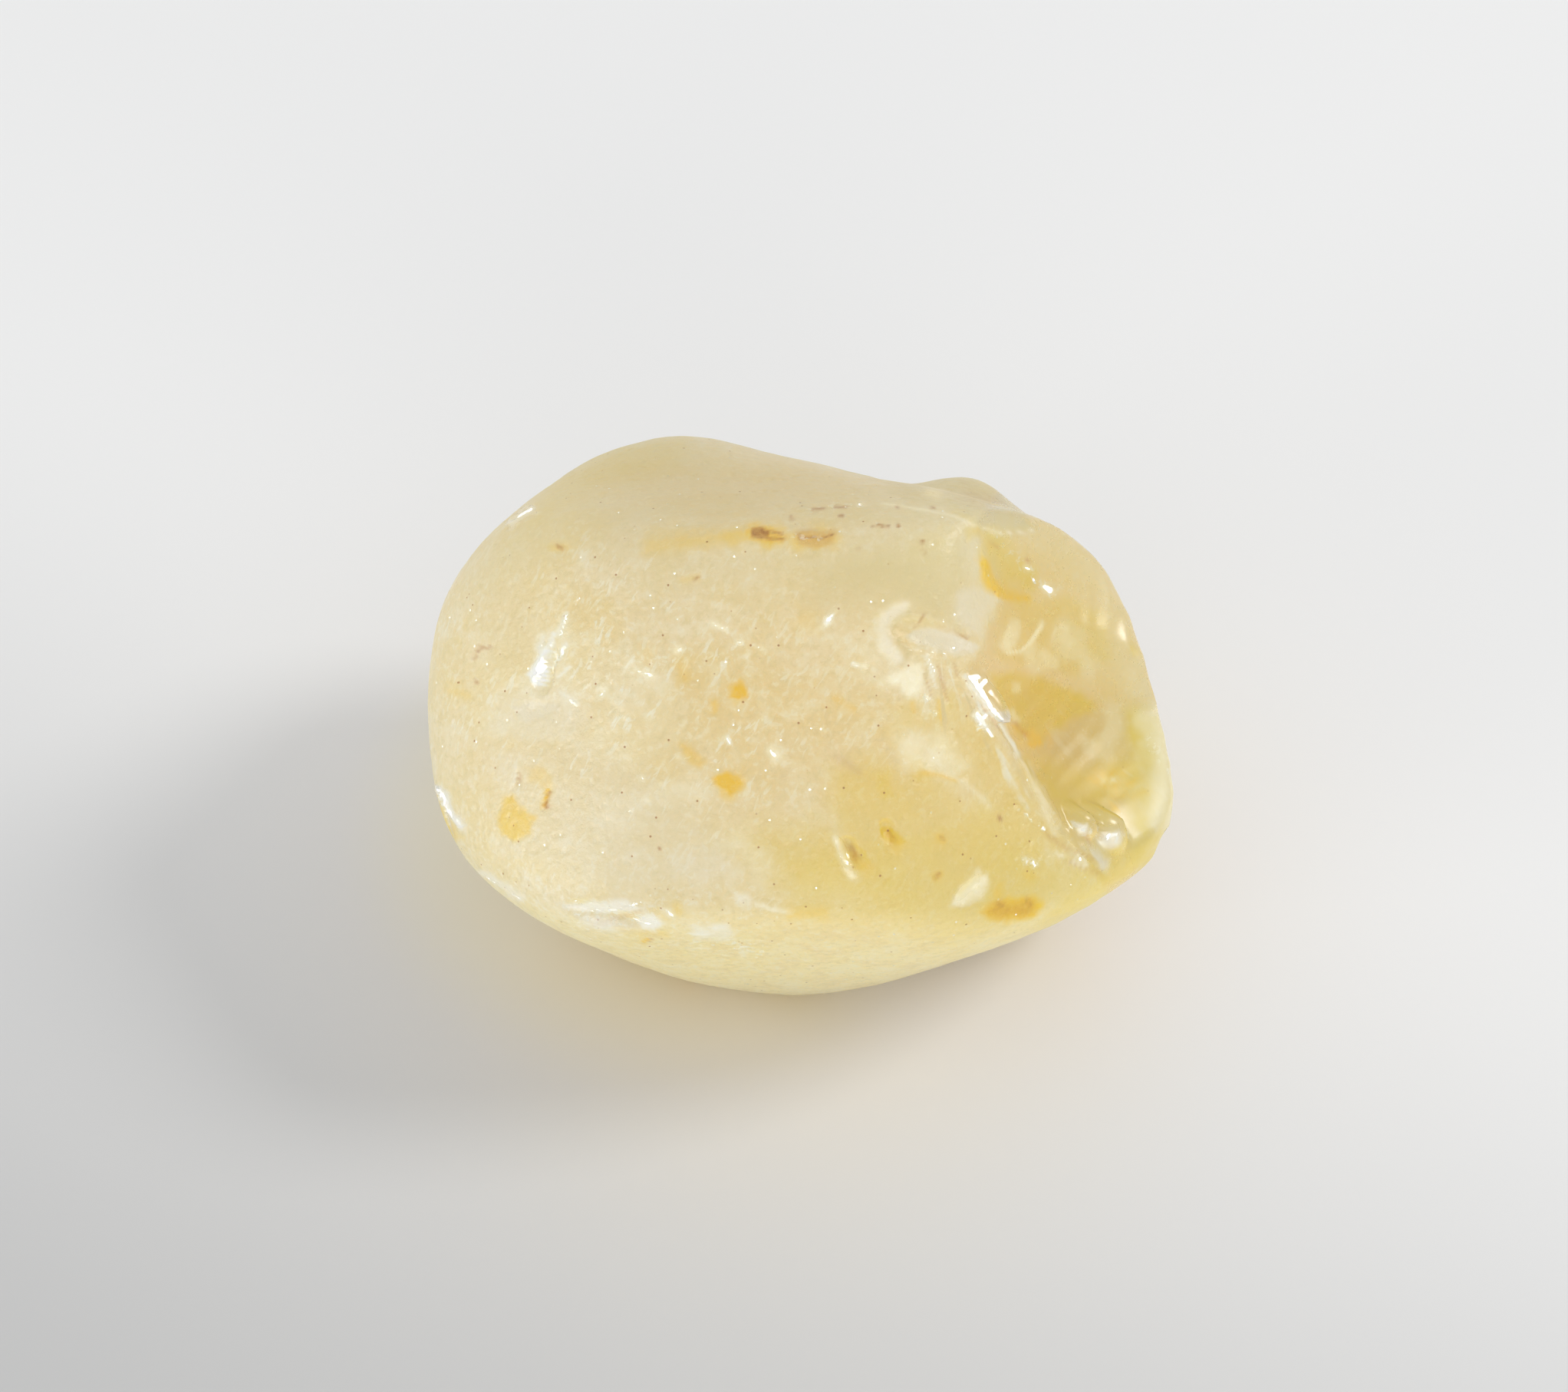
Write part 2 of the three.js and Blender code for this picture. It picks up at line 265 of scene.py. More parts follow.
# Veils: milky inclusions inside the stone; the short glint lines among them are painted highlights
VEILS_AND_GLINTS = [
    (0.08, 0.6, [(720, 830), (735, 808)], SHOULDER_GLINT),
    (0.09, 0.5, [(725, 868), (748, 852)], [(690, 900), (715, 909), (748, 919)]),
    (0.09, 0.45, [(648, 904), (677, 886), (700, 890)]),
    (0.1, 0.4, [(655, 952), (660, 944)]),
    (0.07, 0.6, [(782, 910), (787, 899)], [(842, 1040), (846, 1044)]),
    (0.06, 0.6, [(814, 869), (818, 869)], [(828, 871), (851, 881)], [(836, 1011), (838, 1015)]),
    (0.05, 0.7, [(881, 847), (884, 845)], [(868, 1186), (878, 1194)], [(677, 673), (667, 682)],
        [(1334, 1118), (1338, 1120)], [(1346, 1123), (1350, 1126)]),
    (0.05, 0.8, [(963, 837), (967, 838)], [(1111, 864), (1116, 865)], [(1122, 866), (1126, 867)],
        [(693, 663), (682, 669)]),
    (0.04, 0.7, [(927, 812), (948, 820)]),
    (0.04, 0.5, [(984, 841), (998, 848)], [(1084, 801), (1093, 792)]),
    (0.05, 0.9, TOP_GLINT),
    (0.06, 0.9, [(948, 961), (950, 966)]),
    (0.09, 0.6, [(1004, 976), (1010, 984)]),
    (0.1, 0.35, [(884, 985), (892, 990)]),
    (0.05, 1, LEFT_END_LIP),
    (0.06, 0.8, [(628, 1136), (658, 1156), (677, 1171)]),
    (0.04, 0.6, [(985, 1177), (1006, 1184), (1029, 1189)], [(1119, 657), (1122, 656)],
        [(1045, 701), (1049, 700)]),
    (0.05, 0.6, [(1398, 1122), (1414, 1128)], [(1088, 1091), (1098, 1114), (1110, 1140)],
        [(1400, 1112), (1412, 1120)], [(1262, 882), (1275, 884)]),
    (0.05, 0.5, [(1376, 1112), (1386, 1116)], [(1436, 1017), (1456, 1016)], [(966, 1238), (970, 1243)],
        [(1256, 883), (1290, 926), (1320, 971)], SCAR_LIP, [(1336, 738), (1340, 742)]),
    (0.06, 0.5, [(1252, 1160), (1275, 1138)], [(903, 1214), (920, 1217)], [(932, 1208), (946, 1206)]),
    (0.3, 0.5, [(1512, 930), (1522, 1000), (1512, 1060)]),
    (0.16, 0.6, [(1150, 801), (1146, 819), (1153, 845), (1168, 858)]),
    (0.13, 0.6, [(1160, 792), (1182, 786)]),
    (0.16, 0.75, [(1168, 884), (1192, 872), (1196, 894)]),
    (0.2, 0.3, [(1125, 845), (1140, 860)], [(1385, 830), (1415, 860)]),
    (0.08, 0.8, [(1404, 1080), (1416, 1084)]),
    (0.06, 0.7, [(1274, 930), (1281, 947)]),
    (0.05, 0.4, [(1327, 982), (1357, 1037), (1372, 1085)], [(640, 912), (662, 890), (690, 896)]),
    (0.04, 0.35, [(1206, 851), (1220, 876)]),
    (0.05, 0.3, [(1203, 998), (1256, 1018), (1290, 1050)]),
    (0.22, 0.25, [(1000, 1130), (960, 1090)]),
    (0.1, 1, [(1211, 642), (1221, 645)]),
    (0.035, 0.6, [(1312, 850), (1331, 848), (1346, 832), (1359, 812)]),
    (0.035, 0.4, [(1372, 832), (1375, 820), (1386, 815), (1392, 822)]),
    (0.07, 0.35, [(1358, 852), (1368, 866)]),
    (0.045, 0.5, [(673, 903), (690, 899), (707, 898), (733, 908), (752, 924)]),
    (0.03, 0.6, [(928, 811), (949, 822)],
        [(1150, 655), (1187, 661), (1241, 671), (1266, 682), (1300, 694), (1344, 692)]),
    (0.025, 0.6, [(980, 839), (994, 845)]),
    (0.03, 0.4, [(1080, 804), (1062, 822)]),
    (0.14, 0.3, [(1340, 850), (1352, 868)]),
    (0.35, 0.22, [(800, 1060), (900, 1020)]),
    (0.3, 0.22, [(740, 830), (780, 900)]),
]
OLIVE = [
    (0.07, 1, [(1184, 797), (1168, 805), (1164, 822), (1174, 840), (1183, 850), (1174, 865)]),
    (0.3, 0.9, [(1168, 634), (1240, 634), (1320, 668)]),
    (0.6, 0.35, [(760, 690), (900, 740), (1060, 745), (1160, 740)]),
    (0.45, 0.3, [(1180, 700), (1230, 740)]),
    (0.08, 0.5, [(658, 846), (663, 850)]),
    (0.2, 0.3, [(700, 625), (800, 590)]),
    (0.1, 0.45, [(1104, 1096), (1122, 1120)]),
    (0.05, 0.3, [(1097, 989), (1120, 1004)]),
    (0.04, 0.4, [(1310, 968), (1345, 1040)]),
    (0.22, 0.3, [(1490, 1010), (1470, 1060)]),
    (0.25, 0.35, [(820, 590), (960, 600)]),
]
ASH_LINES = [
    (0.1, 0.8, [(1180, 787), (1156, 800), (1149, 818), (1156, 840), (1172, 860)]),
    (0.05, 0.5, [(1194, 842), (1238, 851), (1268, 849)]),
    (0.12, 0.35, [(655, 952), (660, 944)]),
]
# Snow: white flakes inside the stone, and painted highlights on the ridge of the break, at the bright spot
# on the left and on small glints
SNOW_AND_HIGHLIGHT_LINES = [
    (0.05, 0.9, [(690, 878), (712, 848)], [(1272, 934), (1284, 946)]),
    (0.04, 0.7, [(712, 860), (722, 826)]),
    (0.04, 0.6, [(722, 868), (738, 840)], [(728, 882), (742, 868)]),
    (0.035, 0.5, [(728, 826), (738, 798)]),
    (0.04, 0.5, [(700, 846), (708, 828)], [(1257, 879), (1299, 935), (1327, 982)]),
    (0.06, 0.8, [(571, 1027), (584, 1053), (602, 1077)]),
    (0.035, 0.7, [(948, 960), (951, 967)], TOP_GLINT),
    (0.03, 0.6, [(1111, 864), (1117, 866)]),
    (0.03, 0.5, [(1206, 854), (1219, 895)]),
    (0.03, 0.8, [(1284, 930), (1273, 950)]),
    (0.03, 0.7, [(1282, 945), (1292, 956)]),
    (0.04, 0.45, [(732, 902), (752, 916)]),
]
GLINTS = [
    (0.09, 1, [(1256, 876), (1270, 887), (1292, 919), (1306, 938)]),
    (0.06, 1, [(1262, 880), (1276, 884)]),
    (0.07, 1, [(1272, 930), (1282, 948)]),
    (0.06, 0.9, RIDGE,
        SHOULDER_GLINT, [(948, 961), (950, 966)]),
    (0.12, 0.9, [(1404, 1082), (1440, 1094), (1460, 1088)]),
    (0.05, 0.9, [(1336, 738), (1340, 742)], [(1345, 756), (1349, 760)], TOP_GLINT,
        [(1111, 864), (1126, 867)]),
    (0.16, 1, [(704, 884), (708, 872), (712, 858)]),
    (0.07, 0.9, LEFT_END_LIP, [(693, 663), (667, 682)]),
    (0.1, 0.8, [(738, 1183), (776, 1188), (850, 1190)]),
    (0.05, 0.8, [(1047, 700), (1049, 701)], [(1119, 657), (1121, 656)], [(963, 837), (967, 838)]),
    (0.06, 0.8, SCAR_LIP, [(1334, 1118), (1350, 1126)]),
    (0.08, 0.8, [(1270, 1146), (1248, 1168)]),
]
# Glitter: specks with a painted highlight colour, turned to catch a lamp
GLITTER = [
    (0.045, 1, [(1325, 1046), (1362, 1083)]),
    (0.04, 0.6, [(1049, 666), (1080, 661), (1121, 657)]),
    (0.06, 0.6, [(1040, 698), (1086, 704)]),
    (0.06, 0.9, [(1334, 738), (1342, 742)], [(1344, 756), (1352, 760)]),
    (0.07, 1, [(1362, 764), (1371, 770)]),
    (0.06, 0.8, [(1330, 1118), (1352, 1126)]),
    (0.1, 0.7, [(1400, 1078), (1460, 1092)]),
    (0.08, 0.6, [(1206, 905), (1224, 940)]),
    (0.15, 0.6, [(742, 1190), (850, 1196)]),
    (0.12, 0.5, [(880, 1216), (990, 1240)], [(706, 850), (700, 900)]),
    (0.15, 0.35, [(720, 900), (800, 880), (880, 850)]),
    (0.06, 0.5, [(1296, 700), (1340, 740)]),
    (0.05, 0.5, [(1500, 960), (1524, 1010)]),
]
HACKLES = [
    (0.28, 0.9, [(1215, 880), (1235, 930)]),
    (0.2, 1, [(1262, 900), (1300, 960), (1330, 1010)]),
    (0.16, 0.9, [(1345, 1040), (1400, 1110)]),
    (0.2, 0.7, [(1395, 1100), (1435, 1125)]),
    (0.3, 0.35, [(1400, 960), (1470, 1000)]),
]
SPLINTERS = [
    (0.38, 1, [(1396, 1086), (1456, 1094)]),
    (0.15, 0.5, [(1262, 884), (1304, 940)]),
]

# Crystal facets that catch a lamp; they also carry a painted highlight colour
FACETS = [
    (0.036, 1, [(1261, 882), (1274, 881)], [(1279, 891), (1283, 887)]),
    (0.04, 1, [(1265, 884), (1271, 889), (1277, 898), (1285, 909), (1292, 920)],
        [(1274, 932), (1283, 944)]),
    (0.044, 1, [(1295, 924), (1300, 930), (1305, 938)]),
    (0.028, 0.9, [(1284, 931), (1274, 948)]),
    (0.028, 0.8, [(1286, 950), (1293, 959)]),
    (0.036, 0.65, [(1337, 739), (1341, 742)], [(947, 960), (951, 967)]),
    (0.036, 0.9, [(1346, 756), (1350, 759)], [(1334, 1119), (1338, 1121)], [(1346, 1124), (1350, 1127)],
        [(573, 1030), (584, 1053), (600, 1073)]),
    (0.048, 1, SHOULDER_GLINT),
    (0.04, 0.8, [(1403, 1078), (1414, 1082)], [(1436, 1094), (1458, 1087)]),
    (0.032, 0.7, [(1398, 1112), (1412, 1122)]),
    (0.032, 0.6, [(962, 836), (967, 838)], [(884, 846), (886, 845)], [(982, 840), (990, 843)],
        [(750, 788), (756, 776)], [(770, 862), (776, 850)], [(656, 946), (660, 950)],
        [(1012, 830), (1016, 832)], [(1078, 808), (1084, 801)], [(1110, 864), (1117, 866)],
        [(836, 1011), (838, 1015)], [(1206, 854), (1218, 876)], [(826, 1196), (850, 1204)],
        [(780, 905), (787, 899)], [(868, 1186), (878, 1194)]),
    (0.032, 0.52, [(928, 812), (946, 820)]),
    (0.032, 0.62, [(1229, 783), (1230, 784)], [(1229, 808), (1230, 809)], [(1272, 711), (1273, 712)]),
    (0.036, 0.66, [(1119, 656), (1121, 657)]),
    (0.032, 0.58, [(1003, 976), (1009, 984)]),
    (0.028, 0.5, [(1183, 846), (1242, 852)], [(630, 1140), (676, 1171)]),
    (0.09, 1, [(700, 884), (708, 878)]),
    (0.06, 1, [(702, 872), (710, 862)]),
    (0.032, 0.8, [(724, 864), (737, 842)]),
    (0.028, 0.7, [(731, 826), (738, 800)], [(740, 910), (753, 920)], [(676, 673), (693, 663)]),
    (0.028, 0.6, [(742, 1186), (800, 1184), (836, 1174)]),
    (0.032, 0.54, [(828, 872), (850, 880)]),
]

# Lips and grooves: half width and height in mm
LIPS = [
    (0.045, 0.035, RIDGE,
        [(704, 866), (712, 850)], [(716, 880), (728, 868)]),
    (0.05, 0.02, [(1259, 881), (1276, 883)], SCAR_LIP),
    (0.045, 0.02, [(1282, 882), (1284, 893)]),
    (0.05, 0.045, [(698, 886), (706, 880)]),
    (0.045, 0.025, [(1256, 890), (1285, 930), (1315, 975)]),
    (0.06, 0.03, [(1398, 1070), (1410, 1096), (1434, 1112)]),
    (0.06, -0.03, [(1420, 1070), (1426, 1092), (1450, 1104)]),
    (0.06, 0.022, [(1424, 1012), (1450, 1020), (1482, 1004)], [(1436, 1030), (1460, 1036), (1492, 1022)],
        [(1460, 1066), (1484, 1062), (1506, 1044)]),
    (0.05, 0.018, [(1206, 851), (1220, 876)], [(1380, 1090), (1430, 1118)], [(1388, 1110), (1440, 1138)]),
    (0.06, 0.01, [(1183, 835), (1242, 850), (1276, 842)]),
    (0.055, 0.008, [(1184, 800), (1178, 822), (1190, 850)]),
    (0.055, 0.03, [(738, 1183), (776, 1188), (837, 1173)]),
    (0.055, 0.02, [(783, 1206), (818, 1192)]),
    (0.06, 0.025, LEFT_END_LIP),
    (0.06, 0.015, [(1161, 993), (1212, 1000), (1249, 1023), (1268, 1045), (1283, 1067)]),
    (0.045, -0.03, [(1205, 878), (1214, 908)], [(1222, 867), (1235, 912)]),
    (0.045, -0.025, [(1244, 863), (1248, 882)], [(1045, 699), (1084, 694)], [(677, 1008), (676, 1019)]),
    (0.045, -0.01, [(1196, 813), (1209, 799)]),
    (0.045, -0.012, [(1227, 819), (1243, 823), (1261, 830)]),
    (0.055, -0.03, [(984, 691), (1006, 699)]),
    (0.07, -0.03, [(1290, 920), (1325, 972), (1350, 1020)]),
    (0.05, -0.03, [(714, 1028), (708, 1050)]),
    (0.045, -0.02, LEFT_GROOVE),
]

# Patches: softness of the edge in mm, strength, outline in pixels of the photograph
STAIN_PATCHES = [
    (0.04, 0.65, [(657, 1036), (670, 1032), (677, 1048), (688, 1058), (702, 1064), (696, 1073), (694, 1086),
        (674, 1095), (654, 1086), (649, 1066), (655, 1050)]),
    (0.08, 0.3, [(684, 1000), (700, 996), (714, 1004), (719, 1026), (708, 1032), (696, 1016)]),
    (0.05, 1, [(964, 884), (970, 894), (977, 908), (962, 912), (950, 907), (956, 894)],
        [(1280, 1187), (1296, 1175), (1310, 1178), (1306, 1190), (1290, 1194)]),
    (0.06, 1, [(930, 1014), (948, 1004), (962, 1010), (970, 1021), (960, 1033), (950, 1040),
        (942, 1030)]),
    (0.06, 0.45, [(882, 964), (892, 966), (918, 992), (912, 1000), (896, 992)]),
    (0.05, 0.4, [(926, 912), (934, 916), (934, 926), (928, 926)],
        [(886, 870), (896, 878), (898, 890), (888, 888)]),
    (0.05, 0.75, [(968, 688), (984, 682), (1010, 686), (1026, 698), (1018, 708), (984, 706), (970, 700)]),
    (0.04, 0.5, [(1033, 696), (1060, 692), (1090, 693), (1088, 708), (1062, 713), (1040, 710)]),
    (0.08, 1, [(1275, 1188), (1293, 1176), (1313, 1167), (1345, 1169), (1362, 1180), (1351, 1196),
        (1313, 1201), (1287, 1196)]),
    (0.08, 0.45, [(1298, 1150), (1308, 1150), (1310, 1170), (1298, 1172)]),
    (0.04, 0.9, [(1446, 1047), (1456, 1045), (1461, 1053), (1453, 1060), (1445, 1056)]),
    (0.05, 0.5, [(562, 1033), (571, 1036), (582, 1064), (597, 1088), (594, 1094), (577, 1070),
        (563, 1046)]),
    (0.11, 0.32, [(838, 703), (900, 695), (976, 689), (978, 708), (900, 714), (840, 721)]),
    (0.035, 0.85, [(1283, 728), (1289, 730), (1294, 752), (1308, 768), (1324, 775), (1342, 777),
        (1340, 783), (1318, 783), (1298, 774), (1284, 760), (1279, 744)]),
    (0.035, 1, [(1336, 960), (1344, 953), (1354, 957), (1357, 968), (1346, 974), (1337, 969)]),
    (0.1, 0.5, [(1320, 950), (1340, 962), (1344, 978), (1330, 970)]),
]
KNOT_PATCHES = [
    (0.06, 0.3, [(1036, 693), (1062, 689), (1089, 690), (1084, 708), (1056, 711), (1040, 708)]),
    (0.1, 0.32, [(1280, 1190), (1300, 1176), (1345, 1176), (1352, 1190), (1310, 1198)]),
    (0.04, 0.8, [(978, 687), (990, 686), (1002, 694), (994, 702), (982, 698)]),
]
OLIVE_PATCHES = [
    (0.05, 0.45, [(670, 922), (684, 914), (704, 911), (726, 915), (734, 924), (716, 931), (700, 940),
        (684, 946)]),
    (0.2, 0.5, [(1000, 715), (1110, 705), (1120, 745), (1010, 750)]),
    (0.2, 0.45, [(626, 800), (690, 780), (700, 830), (684, 868), (634, 880)]),
    # This wide patch makes the top and back of the stone darker
    (0.45, 0.55, [(600, 740), (720, 620), (860, 560), (1150, 620), (1260, 650), (1280, 690), (1150, 690),
        (1000, 680), (860, 690), (740, 720), (640, 800)]),
    (0.14, 1, [(1156, 640), (1180, 626), (1232, 615), (1277, 622), (1311, 644), (1346, 688), (1311, 692),
        (1277, 688), (1266, 678), (1241, 667), (1187, 657)]),
    (0.6, 1, [(1040, 740), (1140, 700), (1278, 694), (1284, 760), (1286, 800), (1262, 822), (1200, 812),
        (1140, 790), (1060, 790)]),
]
DULL_PATCHES = [
    (0.12, 0.6, [(1256, 622), (1300, 632), (1352, 692), (1290, 694), (1262, 678)]),
    (0.5, 1, [(1340, 960), (1400, 920), (1560, 930), (1580, 1060), (1540, 1170), (1475, 1140),
        (1450, 1070), (1380, 1080)]),
]
GOLD_PATCHES = [
    (0.25, 0.35, [(700, 625), (790, 570), (900, 568), (880, 610), (780, 640), (700, 680)]),
    (0.15, 0.85, [(1470, 925), (1530, 925), (1545, 1000), (1535, 1060), (1490, 1095), (1462, 1060),
        (1472, 1000)]),
    (0.2, 0.4, [(1200, 930), (1240, 900), (1300, 960), (1350, 1060), (1320, 1080), (1270, 1040),
        (1230, 1000)]),
    (0.1, 0.5, [(1236, 622), (1277, 622), (1311, 644), (1346, 688), (1311, 692), (1270, 688), (1240, 665)]),
    (0.25, 0.25, [(1180, 700), (1280, 690), (1290, 760), (1240, 800), (1170, 780)]),
    (0.1, 0.85, [(1290, 879), (1324, 874), (1348, 879), (1367, 887), (1400, 900), (1428, 914), (1420, 928),
        (1400, 936), (1385, 950), (1367, 958), (1356, 968), (1340, 968), (1324, 952), (1309, 928),
        (1296, 900)]),
    (0.34, 0.5, [(1084, 1000), (1130, 985), (1180, 1010), (1216, 1006), (1243, 1018), (1262, 1042),
        (1283, 1068), (1262, 1110), (1230, 1140), (1190, 1190), (1130, 1196), (1095, 1150), (1088, 1090),
        (1072, 1040)]),
    (0.1, 0.65, [(1284, 700), (1306, 706), (1326, 728), (1350, 744), (1346, 768), (1324, 772), (1322, 748),
        (1304, 738), (1284, 736)]),
    (0.15, 0.35, [(1300, 790), (1390, 780), (1440, 800), (1450, 860), (1400, 880), (1340, 870),
        (1300, 860)]),
    (0.4, 0.6, [(1390, 1120), (1450, 1090), (1530, 1030), (1500, 1150), (1420, 1200), (1340, 1220)]),
    (0.6, 0.62, [(980, 1090), (1200, 1060), (1330, 1010), (1400, 1120), (1420, 1180), (1240, 1220),
        (1020, 1180)]),
    (0.25, 0.75, [(1330, 980), (1420, 1000), (1480, 985), (1500, 1020), (1440, 1060), (1380, 1060),
        (1340, 1020)]),
    (0.04, 1, [(1091, 1091), (1105, 1094), (1122, 1106), (1136, 1122), (1128, 1134), (1111, 1138),
        (1101, 1116)]),
    (0.05, 1, [(1143, 1079), (1156, 1074), (1170, 1084), (1181, 1096), (1166, 1105), (1148, 1092)]),
    (0.12, 0.7, [(1136, 1005), (1160, 998), (1170, 1040), (1150, 1050), (1138, 1030)]),
]
VEIL_PATCHES = [
    (0.06, 0.42, [(1303, 842), (1308, 822), (1318, 806), (1328, 808), (1329, 825), (1322, 842),
        (1312, 850)]),
    (0.08, 0.35, [(1352, 850), (1362, 843), (1380, 856), (1376, 872), (1358, 872)]),
    (0.08, 0.25, [(1437, 913), (1461, 915), (1465, 955), (1444, 990), (1421, 990), (1402, 956), (1424, 962),
        (1440, 950)]),
    (0.06, 0.4, [(1314, 926), (1322, 922), (1328, 938), (1320, 942)]),
    (0.05, 0.35, [(1318, 888), (1332, 888), (1330, 900), (1320, 900)]),
    (0.15, 0.4, [(1160, 960), (1230, 950), (1262, 1000), (1240, 1008), (1216, 998), (1180, 1002)]),
    (0.06, 0.75, [(1168, 886), (1186, 868), (1202, 872), (1200, 902), (1182, 912)]),
    (0.06, 0.7, [(1237, 1182), (1247, 1165), (1260, 1150), (1271, 1139), (1287, 1137), (1290, 1147),
        (1277, 1170), (1257, 1178)]),
    (0.1, 0.4, [(684, 884), (700, 836), (730, 800), (748, 810), (744, 860), (768, 900), (748, 926),
        (706, 902)]),
    (0.25, 0.25, [(620, 830), (700, 800), (860, 860), (900, 960), (820, 1010), (700, 960), (620, 960)]),
]
ASH_PATCHES = [
    (0.03, 0.85, [(1182, 829), (1193, 820), (1216, 818), (1238, 824), (1260, 833), (1280, 842), (1268, 848),
        (1238, 849), (1212, 844), (1195, 838)]),
    (0.12, 0.6, [(1242, 800), (1248, 774), (1268, 756), (1288, 764), (1302, 778), (1294, 784), (1294, 801),
        (1282, 814), (1278, 832), (1262, 822)]),
    (0.16, 0.35, [(1258, 700), (1276, 700), (1282, 745), (1288, 764), (1262, 766)]),
    (0.05, 1, [(668, 921), (684, 914), (704, 911), (724, 915), (734, 924), (716, 931), (700, 938),
        (684, 946), (678, 934)]),
    (0.2, 0.5, [(650, 905), (690, 890), (740, 900), (770, 940), (740, 970), (680, 968), (640, 945)]),
    (0.25, 0.35, [(640, 980), (760, 960), (900, 1040), (960, 1140), (800, 1160), (660, 1110)]),
]
# White flakes, and painted highlights at the bright spot on the left and on the nubs low on the break
SNOW_AND_HIGHLIGHT_PATCHES = [
    (0.04, 1, [(688, 878), (698, 868), (712, 858), (718, 874), (712, 890), (700, 894)]),
    (0.05, 0.55, [(737, 1180), (770, 1173), (817, 1173), (838, 1183), (805, 1189), (776, 1187)]),
    (0.05, 0.65, [(829, 1194), (852, 1193), (865, 1203), (852, 1215), (835, 1207)]),
    (0.12, 0.35, [(750, 1190), (800, 1196), (840, 1210), (800, 1216), (760, 1208)]),
    (0.08, 0.4, [(898, 1204), (940, 1203), (954, 1212), (950, 1224), (910, 1222)]),
    (0.06, 0.35, [(957, 1164), (976, 1163), (978, 1176), (960, 1178)]),
    (0.04, 0.6, [(1400, 1076), (1419, 1075), (1420, 1083), (1408, 1085)]),
    (0.05, 0.6, [(1430, 1100), (1438, 1084), (1455, 1080), (1465, 1086), (1462, 1100), (1444, 1106)]),
]

# ---- Mesh: a cube grown into a ball, drawn towards the camera's side, pushed out to the stone ----

GRID = 128
SEED = 11

# Sight frame: across and up as the camera sees them, from half way up
SIGHT_ELEVATION = 50
SIGHT_DISTANCE = 100.0
TOWARDS = direction(-90, SIGHT_ELEVATION)
ACROSS = np.array([1.0, 0.0, 0.0])
UP = np.cross(TOWARDS, ACROSS)
HEART_PIXEL = (1041, 931)
PIXELS_PER_MM = 80.5

# The mesh is finer on the camera's side, and finer again around the ridge of the break, at this
# place (across, up, towards). The stretch around it is drawn in by a share of its width.
CROWDING = 0.32
RIDGE_MIDDLE = (3.1, -0.2, 3.4)
RIDGE_SPREAD = math.radians(24)
RIDGE_CROWDING = 0.42


def cube_ball(n):
    """Rays and quads of a cube's faces, cut n by n and blown up into a ball."""
    t = np.tan(np.linspace(-1, 1, n + 1) * math.pi / 4)
    index = {}
    rays = []
    quads = []
    for axis in range(3):
        for side in (-1, 1):
            ids = np.empty((n + 1, n + 1), int)
            for i in range(n + 1):
                for j in range(n + 1):
                    p = [0.0, 0.0, 0.0]
                    p[axis] = side
                    p[(axis + 1) % 3] = t[i]
                    p[(axis + 2) % 3] = t[j]
                    key = (round(p[0], 9), round(p[1], 9), round(p[2], 9))
                    if key not in index:
                        index[key] = len(rays)
                        rays.append(p)
                    ids[i, j] = index[key]
            a, b, c, d = ids[:-1, :-1], ids[1:, :-1], ids[1:, 1:], ids[:-1, 1:]
            ring = (a, b, c, d) if side > 0 else (d, c, b, a)
            quads.append(np.stack([q.ravel() for q in ring], 1))
    return unit(np.array(rays)), np.concatenate(quads)


def crowd(rays, middle, spread, crowding):
    """Draws rays together around the middle one."""
    angle = np.arccos(np.clip(rays @ middle, -1, 1))
    sideways = unit(rays - (rays @ middle)[:, None] * middle + 1e-12)
    angle *= 1 - crowding * np.exp(-((angle / spread) ** 2))
    return np.cos(angle)[:, None] * middle + np.sin(angle)[:, None] * sideways


def vertex_normals(p):
    a, b, c, d = (p[quads[:, k]] for k in range(4))
    face = np.cross(c - a, d - b)
    n = np.zeros_like(p)
    for k in range(4):
        np.add.at(n, quads[:, k], face)
    return unit(n)


rays, quads = cube_ball(GRID)
rays = unit(rays + CROWDING * TOWARDS)
ridge_ray = unit(np.array(RIDGE_MIDDLE) @ np.array([ACROSS, UP, TOWARDS]))
rays = crowd(rays, ridge_ray, RIDGE_SPREAD, RIDGE_CROWDING)
points = rays * stone_radius(rays)[:, None]
normals = vertex_normals(points)
shrink = SIGHT_DISTANCE / (SIGHT_DISTANCE - points @ TOWARDS)
sight = np.stack([points @ ACROSS * shrink, points @ UP * shrink], 1)
front = smooth_step(normals @ TOWARDS, 0.0, 0.12)
seen = np.nonzero(front > 0)[0]


def wobble(size, octaves, shift):
    """Fractal noise over the stone, about -1 to 1; size is its widest wave in mm."""
    at = (points + shift) / size
    return np.array([noise.fractal(Vector(p), 1.0, 2.0, octaves) for p in at.tolist()])


broad = wobble(1.6, 4, 10.0)
fine = wobble(0.32, 3, 30.0)
clouds = wobble(1.3, 5, 50.0)
clumps = wobble(0.5, 3, 70.0)

# The worn skin ends on the right in a ragged edge; past it the stone is glassy and yellower.
# Places along the edge run from bottom to top: up, across in mm.
SKIN_EDGE = [
    (-3.2, 5.2), (-2.5, 4.75), (-1.5, 4.05), (-0.6, 3.45), (0.2, 3.0), (0.62, 2.70),
    (0.80, 2.80), (1.08, 2.96), (1.45, 2.98), (1.60, 3.14), (1.78, 3.12), (1.91, 3.25),
    (2.08, 3.09), (2.31, 2.99), (2.63, 2.98), (2.96, 2.82), (3.4, 3.0), (3.7, 3.2),
]
SKIN_EDGE_BEHIND = 4.3
edge_up, edge_across = zip(*SKIN_EDGE)
past_front = sight[:, 0] - np.interp(sight[:, 1], edge_up, edge_across)
past_behind = points[:, 0] - SKIN_EDGE_BEHIND
